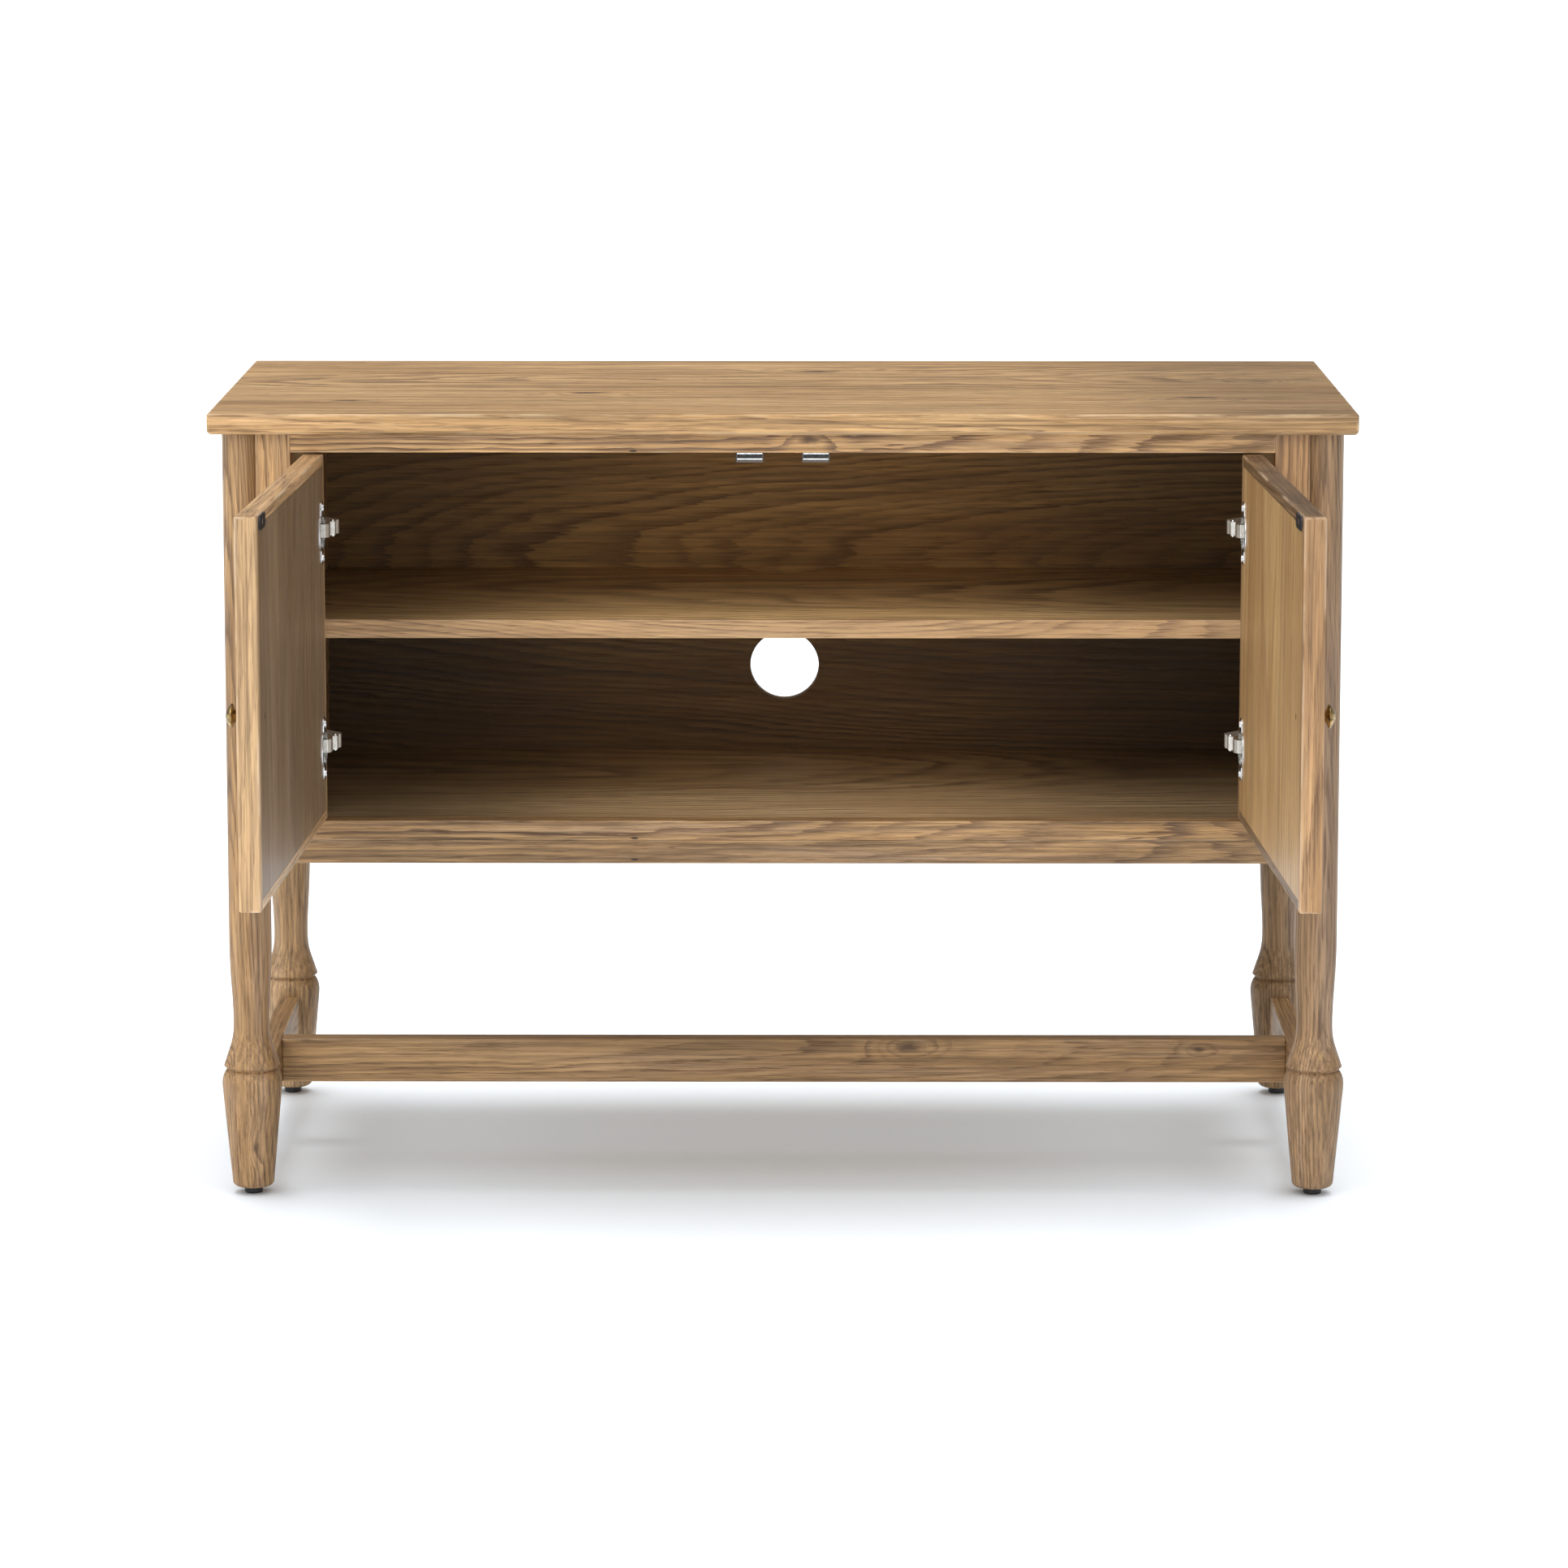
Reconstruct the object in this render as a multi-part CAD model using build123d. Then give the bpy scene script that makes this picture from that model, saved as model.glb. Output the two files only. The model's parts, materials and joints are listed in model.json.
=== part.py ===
from build123d import *
import math
import os

os.makedirs("parts", exist_ok=True)

# A free-standing oak media cabinet on four full-height turned posts.
# Millimetres. +X is right, +Y is back, +Z is up. The origin lies on the floor, under the
# middle of the top. The cabinet is modelled with both doors standing open.
# Every left-hand hinge and door piece is drawn with its door shut, in the cabinet's frame;
# the right-hand one is its mirror image.

# Overall size
width = 1090.0
depth = 495.0
height = 762.0

# Top
top_thickness = 20.0
top_overhang = 11.5            # past the posts on every side
top_corner_radius = 3.0
top_upper_radius = 2.0
top_lower_radius = 4.5

# Turned posts: radii and heights from the foot upwards
post_radius = 20.5
foot_tip_radius = 20.0
foot_tip_round = 5.0
foot_shoulder_radius = 28.8
foot_shoulder_height = 106.0
shoulder_turn_radius = 28.3    # where the shoulder starts to round over
shoulder_turn_height = 114.2
shoulder_top_radius = 26.6     # just before it drops into the groove
shoulder_top_height = 118.9
groove_radius = 23.4
groove_height = 122.6
lip_radius = 27.0
lip_height = 126.2
cove_low_radius = 22.4         # just above the lip
cove_low_height = 140.0
cove_high_radius = 18.9        # just below the neck
cove_high_height = 151.5
neck_radius = 17.3
neck_height = 168.0
swell_radius = 18.4            # where the neck swells back to the column
swell_height = 198.0
column_start_height = 250.0    # straight above this
groove_entry = (-1, 0.55)      # direction, out and up, in which the shoulder meets the groove
lip_exit = (-0.35, 1)          # direction in which the cove leaves the lip

# Glides
glide_radius = 8.8
glide_height = 7.0
glide_round = 1.6
glide_nail_radius = 1.5
glide_nail_length = 20.0

# Carcass
carcass_bottom = 328.0
side_thickness = 33.0
side_let_in = 7.5              # depth of the flat cut in each post
frame_depth = 20.0             # stiles, rails and lippings, front to back
lower_rail_height = 22.5
floor_thickness = 19.0
ceiling_thickness = 18.0
back_thickness = 15.0
back_recess = 44.0             # rear edge of the sides to the back panel
back_groove = 6.0
arris = 0.8                    # worn edge on the frame pieces

# Cable port and shelf
port_radius = 35.0
port_above_middle = 1.75       # above midway between the floor and the shelf
shelf_thickness = 18.0
shelf_above_middle = 1.5       # its middle, above midway between a door's two hinges
shelf_setback = 47.0           # behind the front of the frame
shelf_side_gap = 1.0
shelf_back_gap = 1.5
shelf_corner_radius = 8.0
shelf_notch_radius = 40.0
shelf_lipping = 6.0
shelf_pin_radius = 2.5
shelf_pin_depth = 9.0
shelf_pin_head_radius = 4.0
shelf_pin_head_length = 9.0
shelf_pin_inset = 45.0         # from the shelf's front and back edges

# Stretchers
stretcher_bottom = 62.0
stretcher_height = 44.0
side_stretcher_thickness = 20.0
long_stretcher_thickness = 22.0
stretcher_housing = 12.0       # from the post's axis to the stretcher's end
tenon_length = 12.0
tenon_shoulder = 6.0
stretcher_arris = 1.5

# Dowels and top screws
carcass_dowel_radius = 4.0
carcass_dowel_length = 44.0
post_dowel_radius = 5.0
post_dowel_length = 34.0
post_dowels_per_post = 3
post_dowel_clear = 2.0         # wood left between a post dowel and the stile
dowel_end_inset = 60.0
screw_head_dome = 0.4          # share of every screw head's height that is rounded
top_screw_radius = 2.0
top_screw_head_radius = 4.0
top_screw_head_height = 2.4
top_screw_bite = 12.0          # into the top
top_screw_inset = 80.0

# Doors
door_thickness = 20.0
door_side_gap = 2.0
door_top_gap = 2.0
door_bottom_gap = 1.5
door_middle_gap = 2.5
door_lipping = 10.0
door_round = 1.8
door_rest_angle = 92.5         # how far the doors stand open
pivot_inward = 9.0             # from the side's inner face
pivot_forward = 2.0            # ahead of the frame's front face

# Cup hinges
hinge_end_inset = 72.0         # from the door's top and bottom edges
cup_radius = 17.5
cup_depth = 11.0
cup_wall = 1.0
cup_edge_distance = 7.0        # door edge to the cup's bore
cup_rim = 1.5
flange_end = 6.5               # flange screw's axis to the flange's end
flange_width = 16.0
flange_thickness = 1.6
flange_round = 0.7
cup_screw_clear = 6.5          # cup bore's edge to each flange screw's axis
cup_screw_radius = 1.8
cup_screw_length = 13.0
cup_screw_head_radius = 3.6
cup_screw_head_height = 1.6
link_width = 12.6
link_thickness = 2.4
link_pin_radius = 1.2
arm_width = 13.0
arm_wall = 1.6
arm_face = 17.0                # side's inner face to the arm's outer face
arm_open_side = 8.0            # side's inner face to the open side of the arm's channel
arm_rear = 68.0                # back of the shut door to the arm's rear end
arm_knee = 40.0                # back of the shut door to the crank's outer and inner knees
arm_inner_knee = 34.0
arm_screw_offset = 8.0         # each side of the mounting plate's middle
nose_pin_radius = 1.5
nose_pin_head_radius = 2.0
nose_pin_head_height = 1.9
nose_pin_dome = 0.6            # share of the pin head's height that is rounded
base_setback = 52.0            # back of the shut door to the mounting plate's middle
base_block_half = 14.0
base_block_slope = 2.4         # how much further back the block starts at the arm than at the side
base_wing_length = 52.0
base_wing_width = 16.0
base_wing_thickness = 2.0
base_screw_spacing = 34.0
base_screw_radius = 1.9
base_screw_length = 16.0
base_screw_head_radius = 3.8
base_screw_head_height = 1.8
arm_screw_radius = 2.0
arm_screw_head_radius = 3.2
arm_screw_head_height = 1.8
arm_screw_bite = 9.0

# Hinge shapes in plan: x from the cup bore's near or far edge, y from the back of the shut door
link_start_near = 10.5
link_bends_near = ((4.6, -2.8), (4.2, 1.8), (1.2, 4.2), (-5.2, 4.8))
nose_outer_far = ((-7.8, -8.6), (-3.4, -8.1), (-3.0, 2.2), (-1.0, 4.4), (-1.0, 13.0))
nose_inner_far = ((-13.0, 9.0), (-13.0, 0.0), (-10.5, -3.2))
crank_hollow_far = ((-3.5, 13.2), (-11.0, 10.5))
nose_pin_far = (-5.8, -3.8)

# Knobs
knob_from_edge = 41.0
knob_below_middle = 6.5        # below the middle of the door's height
knob_radius = 10.6
knob_projection = 15.0
knob_neck_radius = 4.4
knob_base_radius = 6.6
knob_base_height = 2.0
knob_foot_chamfer = 0.8
knob_rim_round = 1.3
knob_rim_fraction = 0.62       # rim's place along the projection
knob_screw_radius = 2.0
knob_screw_head_radius = 3.8
knob_screw_head_height = 2.6
knob_screw_engagement = 6.0

# Magnetic catches and strike plates
catch_from_middle = 31.5
catch_length = 27.0
catch_depth = 14.0
catch_drop = 12.0
catch_wall = 1.5
catch_ear_length = 8.0
catch_ear_width = 9.0
catch_ear_thickness = 2.0
catch_gap = 0.6                # poles to strike plate with the door shut
pole_thickness = 1.2
pole_proud = 0.8
magnet_thickness = 4.0
catch_screw_radius = 1.5
catch_screw_length = 12.0
catch_screw_head_radius = 2.8
catch_screw_head_height = 1.4
strike_length = 38.0
strike_width = 13.0
strike_thickness = 1.5
strike_from_top = 7.5          # door's top edge to the plate's middle
strike_screw_radius = 1.5
strike_screw_length = 11.0
strike_screw_head_radius = 3.0
strike_screw_head_height = 0.8

cut_margin = 1.0               # how far a cutting shape runs past the face it opens

# Places that follow from the sizes above
top_underside = height - top_thickness
post_x = width / 2 - top_overhang - post_radius
post_y = depth / 2 - top_overhang - post_radius
frame_front = -(post_y + post_radius)
frame_back = frame_front + frame_depth
carcass_rear = post_y + post_radius
side_outer = post_x - post_radius + side_let_in
side_inner = side_outer - side_thickness
floor_bottom = carcass_bottom + lower_rail_height
floor_top = floor_bottom + floor_thickness
ceiling_bottom = top_underside - ceiling_thickness
back_rear = carcass_rear - back_recess
back_front = back_rear - back_thickness
stretcher_top = stretcher_bottom + stretcher_height
shelf_front = frame_front + shelf_setback
shelf_rear = back_front - shelf_back_gap
shelf_end = side_inner - shelf_side_gap
door_bottom = floor_top + door_bottom_gap
door_top = ceiling_bottom - door_top_gap
door_hinge_edge = -side_inner + door_side_gap
door_free_edge = -door_middle_gap / 2
door_inner = frame_front + door_thickness
pivot_x = -side_inner + pivot_inward
pivot_y = frame_front - pivot_forward
cup_x = door_hinge_edge + cup_edge_distance + cup_radius
cup_near = door_side_gap + cup_edge_distance
cup_far = cup_near + 2 * cup_radius
cup_screw_spacing = 2 * (cup_radius + cup_screw_clear)
flange_length = cup_screw_spacing + 2 * flange_end
hinge_heights = (door_bottom + hinge_end_inset, door_top - hinge_end_inset)
shelf_height = sum(hinge_heights) / 2 + shelf_above_middle + shelf_thickness / 2
shelf_bottom = shelf_height - shelf_thickness
port_height = (floor_top + shelf_bottom) / 2 + port_above_middle
knob_height = (door_bottom + door_top) / 2 - knob_below_middle


def save(name, *solids):
    """Write one sub-part: a single solid, or a group of identical ones."""
    shape = solids[0] if len(solids) == 1 else Compound(children=list(solids))
    export_step(shape, f"parts/{name}.step")


def block(x0, x1, y0, y1, z0, z1):
    """A box between two corners."""
    centre = ((x0 + x1) / 2, (y0 + y1) / 2, (z0 + z1) / 2)
    return Pos(*centre) * Box(x1 - x0, y1 - y0, z1 - z0)


def rod(radius, start, end):
    """A cylinder from one point to another."""
    start = Vector(*start)
    end = Vector(*end)
    plane = Plane(origin=start, z_dir=end - start)
    return extrude(plane * Circle(radius), (end - start).length)


def domed_rod(radius, start, end, rounding):
    """A cylinder with its far end rounded."""
    body = rod(radius, start, end)
    rims = body.edges().filter_by(GeomType.CIRCLE)
    return fillet(rims.sort_by_distance(Vector(*end))[0], rounding)


def profile(points, z0, z1):
    """A polygon in plan, drawn up from z0 to z1."""
    return extrude(Pos(0, 0, z0) * make_face(Polyline(*points, close=True)), z1 - z0)


def stadium(length, breadth, plane, thickness, rounding=0):
    """A round-ended plate on a plane, along the plane's x direction; its outer rim may be rounded."""
    plate = extrude(plane * SlotOverall(length, breadth), thickness)
    if rounding:
        outer = plate.faces().sort_by(Axis(plane.origin, plane.z_dir))[-1]
        plate = fillet(outer.edges(), rounding)
    return plate


def ease(piece, radius):
    """Round every edge of a plain board."""
    return fillet(piece.edges(), radius)


def mirrored(piece):
    return piece.mirror(Plane.YZ)


def opened(piece):
    """Swing a left-hand door piece from shut to where the door rests."""
    return piece.rotate(Axis((pivot_x, pivot_y, 0), (0, 0, 1)), -door_rest_angle)


def screw(shank_radius, shank_length, head_radius, head_height, seat, direction):
    """A screw whose head stands on the seat, with its shank running along the direction."""
    seat = Vector(*seat)
    direction = Vector(*direction)
    head = domed_rod(head_radius, seat, seat - direction * head_height, head_height * screw_head_dome)
    return head + rod(shank_radius, seat, seat + direction * shank_length)


# ---------------------------------------------------------------- posts and glides

def turned_post():
    """The full turning, stood on the origin: glide gap, foot, groove, lip, cove and column."""
    foot_line = Line((foot_tip_radius, glide_height + foot_tip_round),
                     (foot_shoulder_radius, foot_shoulder_height))
    tip_round = ThreePointArc(
        (foot_tip_radius - foot_tip_round, glide_height),
        (foot_tip_radius - foot_tip_round * (1 - math.sqrt(0.5)),
         glide_height + foot_tip_round * (1 - math.sqrt(0.5))),
        foot_line @ 0)
    shoulder = Spline(foot_line @ 1, (shoulder_turn_radius, shoulder_turn_height),
                      (shoulder_top_radius, shoulder_top_height), (groove_radius, groove_height),
                      tangents=(foot_line % 1, groove_entry))
    lip = Line((groove_radius, groove_height), (lip_radius, lip_height))
    cove = Spline((lip_radius, lip_height), (cove_low_radius, cove_low_height),
                  (cove_high_radius, cove_high_height), (neck_radius, neck_height),
                  (swell_radius, swell_height), (post_radius, column_start_height),
                  tangents=(lip_exit, (0, 1)))
    column = Line((post_radius, column_start_height), (post_radius, top_underside))
    closing = Polyline((post_radius, top_underside), (0, top_underside), (0, glide_height),
                       (foot_tip_radius - foot_tip_round, glide_height))
    outline = make_face(Curve() + [tip_round, foot_line, shoulder, lip, cove, column, closing])
    return revolve(Plane.XZ * outline, Axis.Z)


def side_panel_place(side):
    """The space that one thick side takes, with the stile in front of it."""
    inner, outer = sorted((side * side_inner, side * side_outer))
    return block(inner, outer, frame_front, carcass_rear, carcass_bottom, top_underside)


def side_stretcher_place(side):
    end = post_y - stretcher_housing
    middle = side * post_x
    half = side_stretcher_thickness / 2
    return block(middle - half, middle + half, -end, end, stretcher_bottom, stretcher_top)


def post_dowels(side, end):
    """Dowels that hold one post to the side panel."""
    span = top_underside - carcass_bottom - 2 * dowel_end_inset
    middle = side * side_outer
    half = post_dowel_length / 2
    y = -end * (frame_back + post_dowel_clear + post_dowel_radius)
    dowel_pins = []
    for step in range(post_dowels_per_post):
        z = carcass_bottom + dowel_end_inset + span * step / (post_dowels_per_post - 1)
        dowel_pins.append(rod(post_dowel_radius, (middle - half, y, z), (middle + half, y, z)))
    return dowel_pins


turning = turned_post()
glides = []
glide_nails = []
all_post_dowels = []
for side, side_name in ((-1, "left"), (1, "right")):
    for end, end_name in ((-1, "front"), (1, "rear")):
        own_dowels = post_dowels(side, end)
        all_post_dowels += own_dowels
        nail = rod(glide_nail_radius, (side * post_x, end * post_y, glide_height / 2),
                   (side * post_x, end * post_y, glide_nail_length))
        glide_nails.append(nail)
        post = Pos(side * post_x, end * post_y, 0) * turning
        post = post - side_panel_place(side) - side_stretcher_place(side) - own_dowels - nail
        save(f"post_{end_name}_{side_name}", post)
        disc = domed_rod(glide_radius, (side * post_x, end * post_y, glide_height),
                         (side * post_x, end * post_y, 0), glide_round)
        glides.append(disc - nail)
save("foot_glides", *glides)
save("glide_nails", *glide_nails)

# ---------------------------------------------------------------- stretchers

def long_stretcher_body():
    end = post_x - side_stretcher_thickness / 2
    half = long_stretcher_thickness / 2
    board = ease(block(-end, end, -half, half, stretcher_bottom, stretcher_top), stretcher_arris)
    cheek = half - tenon_shoulder
    tongue = block(-end - tenon_length, end + tenon_length, -cheek, cheek,
                   stretcher_bottom + tenon_shoulder, stretcher_top - tenon_shoulder)
    return board + tongue


long_stretcher = long_stretcher_body()
for side, side_name in ((-1, "left"), (1, "right")):
    save(f"side_stretcher_{side_name}", side_stretcher_place(side) - long_stretcher)
save("long_stretcher", long_stretcher)

# ---------------------------------------------------------------- carcass

def carcass_dowels():
    """Dowels along X that join the floor, the ceiling and the two lower rails to the sides."""
    half = carcass_dowel_length / 2
    floor_middle = (floor_bottom + floor_top) / 2
    ceiling_middle = (ceiling_bottom + top_underside) / 2
    rail_middle = carcass_bottom + lower_rail_height / 2
    board_front = frame_back + dowel_end_inset
    board_rear = back_front - dowel_end_inset
    places = [(y, z) for z in (floor_middle, ceiling_middle)
              for y in (board_front, (board_front + board_rear) / 2, board_rear)]
    places += [(frame_front + frame_depth / 2, rail_middle), (carcass_rear - frame_depth / 2, rail_middle)]
    return [rod(carcass_dowel_radius, (side * side_inner - half, y, z), (side * side_inner + half, y, z))
            for side in (-1, 1) for y, z in places]


def top_screws():
    """Screws up through the ceiling board into the top."""
    xs = (-side_inner + top_screw_inset, 0, side_inner - top_screw_inset)
    ys = (frame_back + top_screw_inset, back_front - top_screw_inset)
    shank = ceiling_thickness - top_screw_head_height + top_screw_bite
    seat = ceiling_bottom + top_screw_head_height
    return [screw(top_screw_radius, shank, top_screw_head_radius, top_screw_head_height,
                  (x, y, seat), (0, 0, 1)) for x in xs for y in ys]


dowels = carcass_dowels()
screws_up = top_screws()
back_board = block(-side_inner - back_groove, side_inner + back_groove, back_front, back_rear,
                   floor_top - back_groove, ceiling_bottom + back_groove)
port = rod(port_radius, (0, back_front - cut_margin, port_height),
           (0, back_rear + cut_margin, port_height))


def shelf_pins():
    """Four round pins: a shank in the side and a head that the shelf lies on."""
    z = shelf_bottom - shelf_pin_head_radius
    pins = []
    for side in (-1, 1):
        for y in (shelf_front + shelf_pin_inset, shelf_rear - shelf_pin_inset):
            shank = rod(shelf_pin_radius, (side * side_inner, y, z),
                        (side * (side_inner + shelf_pin_depth), y, z))
            head = rod(shelf_pin_head_radius, (side * (side_inner - shelf_pin_head_length), y, z),
                       (side * side_inner, y, z))
            pins.append(shank + head)
    return pins


pins = shelf_pins()


# ---------------------------------------------------------------- hinges

def hinge_plan(x, y):
    """A point in plan, counted from the side's inner face and the back of the shut door."""
    return (-side_inner + x, door_inner + y)


def cup(z):
    """The hinge cup with its long flange, drawn into the back of the shut door."""
    axis_start = (cup_x, door_inner - cup_depth, z)
    mouth = (cup_x, door_inner + flange_thickness, z)
    face = Plane(origin=(cup_x, door_inner, z), x_dir=(0, 0, 1), z_dir=(0, 1, 0))
    body = rod(cup_radius, axis_start, (cup_x, door_inner, z))
    body += stadium(flange_length, flange_width, face, flange_thickness, flange_round)
    body += domed_rod(cup_radius + cup_rim, (cup_x, door_inner, z), mouth, flange_round)
    hollow = rod(cup_radius - cup_wall, (cup_x, door_inner - cup_depth + cup_wall, z), mouth)
    return body - hollow - cup_screws(z) - [link_pin(z)]


def cup_screws(z):
    seat = door_inner + flange_thickness
    return [screw(cup_screw_radius, cup_screw_length, cup_screw_head_radius, cup_screw_head_height,
                  (cup_x, seat, z + shift), (0, -1, 0))
            for shift in (-cup_screw_spacing / 2, cup_screw_spacing / 2)]


def link_start():
    """The pin that holds the link, low in the cup on the side of the door's edge."""
    return hinge_plan(cup_near + link_start_near, -cup_depth / 2)


def link_pin(z):
    x, y = link_start()
    reach = math.sqrt((cup_radius - cup_wall / 2) ** 2 - (cup_x - x) ** 2)
    return rod(link_pin_radius, (x, y, z - reach), (x, y, z + reach))


def link(z):
    """The bent strap that leaves the cup past the door's edge."""
    route = [link_start()] + [hinge_plan(cup_near + x, y) for x, y in link_bends_near]
    low = z - link_width / 2
    high = z + link_width / 2
    strap = None
    for (xa, ya), (xb, yb) in zip(route, route[1:]):
        run = Vector(xb - xa, yb - ya)
        middle = Pos((xa + xb) / 2, (ya + yb) / 2, z)
        turn = Rot(0, 0, math.degrees(math.atan2(run.Y, run.X)))
        leaf = middle * turn * Box(run.length, link_thickness, link_width)
        leaf += rod(link_thickness / 2, (xb, yb, low), (xb, yb, high))
        strap = leaf if strap is None else strap + leaf
    x, y = link_start()
    knuckle = rod(link_thickness, (x, y, low), (x, y, high))
    return strap + knuckle - link_pin(z)


def nose_pin(z):
    """The rivet across the arm's nose, with a domed head above and below."""
    x, y = hinge_plan(cup_far + nose_pin_far[0], nose_pin_far[1])
    half = arm_width / 2
    pin = rod(nose_pin_radius, (x, y, z - half), (x, y, z + half))
    for side in (-1, 1):
        tip = (x, y, z + side * (half + nose_pin_head_height))
        pin += domed_rod(nose_pin_head_radius, (x, y, z + side * half), tip,
                         nose_pin_head_height * nose_pin_dome)
    return pin


def arm(z):
    """The cranked arm: a solid nose that dips into the cup, and a channel running back."""
    skin = arm_face - arm_wall
    beyond = arm_open_side - cut_margin
    rear = arm_rear + cut_margin
    outline = [(cup_far + x, y) for x, y in nose_outer_far]
    outline += [(arm_face, arm_knee), (arm_face, arm_rear), (arm_open_side, arm_rear)]
    outline += [(arm_open_side, arm_inner_knee)] + [(cup_far + x, y) for x, y in nose_inner_far]
    hollow = [(skin, rear), (skin, arm_knee - arm_wall / 2)]
    hollow += [(cup_far + x, y) for x, y in crank_hollow_far]
    hollow += [(beyond, arm_inner_knee - cut_margin), (beyond, rear)]
    half = arm_width / 2
    body = profile([hinge_plan(*p) for p in outline], z - half, z + half)
    body -= profile([hinge_plan(*p) for p in hollow], z - half + arm_wall, z + half - arm_wall)
    return body - nose_pin(z) - arm_screws(z)


def arm_screws(z):
    reach = arm_wall + arm_screw_bite
    return [screw(arm_screw_radius, reach, arm_screw_head_radius, arm_screw_head_height,
                  (*hinge_plan(arm_face, base_setback + shift), z), (-1, 0, 0))
            for shift in (-arm_screw_offset, arm_screw_offset)]


def base_screws(z):
    return [screw(base_screw_radius, base_screw_length, base_screw_head_radius, base_screw_head_height,
                  (*hinge_plan(base_wing_thickness, base_setback), z + shift), (-1, 0, 0))
            for shift in (-base_screw_spacing / 2, base_screw_spacing / 2)]


def arm_base(z):
    """The mounting plate on the side, with the block that the arm's channel sits on."""
    wall = Plane(origin=(*hinge_plan(0, base_setback), z), x_dir=(0, 0, 1), z_dir=(1, 0, 0))
    plate = stadium(base_wing_length, base_wing_width, wall, base_wing_thickness)
    half = arm_width / 2 - arm_wall
    front = base_setback - base_block_half
    rear = base_setback + base_block_half
    skin = arm_face - arm_wall
    plan = [(0, front), (skin, front + base_block_slope), (skin, rear), (0, rear)]
    plate += profile([hinge_plan(*p) for p in plan], z - half, z + half)
    return plate - arm_screws(z) - base_screws(z)


hinge_bases = []
hinge_base_screws = []
hinge_arms = []
hinge_arm_screws = []
hinge_nose_pins = []
for z in hinge_heights:
    for place in (lambda piece: piece, mirrored):
        hinge_bases.append(place(arm_base(z)))
        hinge_arms.append(place(arm(z)))
        hinge_nose_pins.append(place(nose_pin(z)))
        hinge_base_screws += [place(s) for s in base_screws(z)]
        hinge_arm_screws += [place(s) for s in arm_screws(z)]
save("hinge_bases", *hinge_bases)
save("hinge_base_screws", *hinge_base_screws)
save("hinge_arms", *hinge_arms)
save("hinge_arm_screws", *hinge_arm_screws)
save("hinge_nose_pins", *hinge_nose_pins)

# ---------------------------------------------------------------- carcass boards

for side, side_name in ((-1, "left"), (1, "right")):
    inner, outer = sorted((side * side_inner, side * side_outer))
    panel = block(inner, outer, frame_back, carcass_rear, carcass_bottom, top_underside)
    panel = panel - back_board - dowels - all_post_dowels - pins - hinge_base_screws
    stile = ease(block(inner, outer, frame_front, frame_back, carcass_bottom, top_underside), arris)
    save(f"side_panel_{side_name}", panel)
    save(f"stile_{side_name}", stile - dowels)

floor_board = block(-side_inner, side_inner, frame_back, carcass_rear, floor_bottom, floor_top)
save("floor_panel", floor_board - back_board - dowels)
ceiling_board = block(-side_inner, side_inner, frame_back, carcass_rear, ceiling_bottom, top_underside)
for name, bottom, top in (("floor_lipping", floor_bottom, floor_top),
                          ("ceiling_lipping", ceiling_bottom, top_underside)):
    save(name, ease(block(-side_inner, side_inner, frame_front, frame_back, bottom, top), arris))
for name, front, rear in (("lower_rail_front", frame_front, frame_back),
                          ("lower_rail_rear", carcass_rear - frame_depth, carcass_rear)):
    rail = ease(block(-side_inner, side_inner, front, rear, carcass_bottom, floor_bottom), arris)
    save(name, rail - dowels)
save("back_panel", back_board - port)
save("carcass_dowels", *dowels)
save("post_dowels", *all_post_dowels)
save("top_screws", *screws_up)


def top_board():
    board = block(-width / 2, width / 2, -depth / 2, depth / 2, top_underside, height)
    board = fillet(board.edges().filter_by(Axis.Z), top_corner_radius)
    board = fillet(board.faces().sort_by(Axis.Z)[-1].edges(), top_upper_radius)
    return fillet(board.faces().sort_by(Axis.Z)[0].edges(), top_lower_radius)


save("top_panel", top_board() - screws_up)

# ---------------------------------------------------------------- shelf

def shelf_boards():
    """The shelf board and the solid strip on its front edge."""
    board = block(-shelf_end, shelf_end, shelf_front, shelf_rear, shelf_bottom, shelf_height)
    rear_corners = board.edges().filter_by(Axis.Z).group_by(Axis.Y)[-1]
    board = fillet(rear_corners, shelf_corner_radius)
    notch = rod(shelf_notch_radius, (0, shelf_rear, shelf_bottom - cut_margin),
                (0, shelf_rear, shelf_height + cut_margin))
    board -= notch
    strip = block(-shelf_end, shelf_end, shelf_front, shelf_front + shelf_lipping, shelf_bottom, shelf_height)
    board -= strip
    return board, fillet(strip.faces().sort_by(Axis.Y)[0].edges(), arris)


shelf, shelf_strip = shelf_boards()
save("shelf", shelf)
save("shelf_lipping", shelf_strip)
save("shelf_pins", *pins)

# ---------------------------------------------------------------- magnetic catches

catch_front = door_inner + strike_thickness + catch_gap
catch_body_front = catch_front + pole_proud


def catch_poles(x):
    """Two steel strips that reach through the housing's face, above and below the magnet."""
    half = catch_length / 2 - catch_wall
    middle = ceiling_bottom - catch_drop / 2
    rear = catch_body_front + catch_depth - catch_wall
    low = middle - magnet_thickness / 2
    high = middle + magnet_thickness / 2
    return [block(x - half, x + half, catch_front, rear, low - pole_thickness, low),
            block(x - half, x + half, catch_front, rear, high, high + pole_thickness)]


def catch_magnet(x):
    half = catch_length / 2 - catch_wall
    middle = ceiling_bottom - catch_drop / 2
    return block(x - half, x + half, catch_body_front, catch_body_front + catch_depth - catch_wall,
                 middle - magnet_thickness / 2, middle + magnet_thickness / 2)


def catch_screw_pair(x):
    y = catch_body_front + catch_depth / 2
    reach = catch_length / 2 + catch_ear_length / 2
    return [screw(catch_screw_radius, catch_screw_length, catch_screw_head_radius, catch_screw_head_height,
                  (x + shift, y, ceiling_bottom - catch_ear_thickness), (0, 0, 1))
            for shift in (-reach, reach)]


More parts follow.
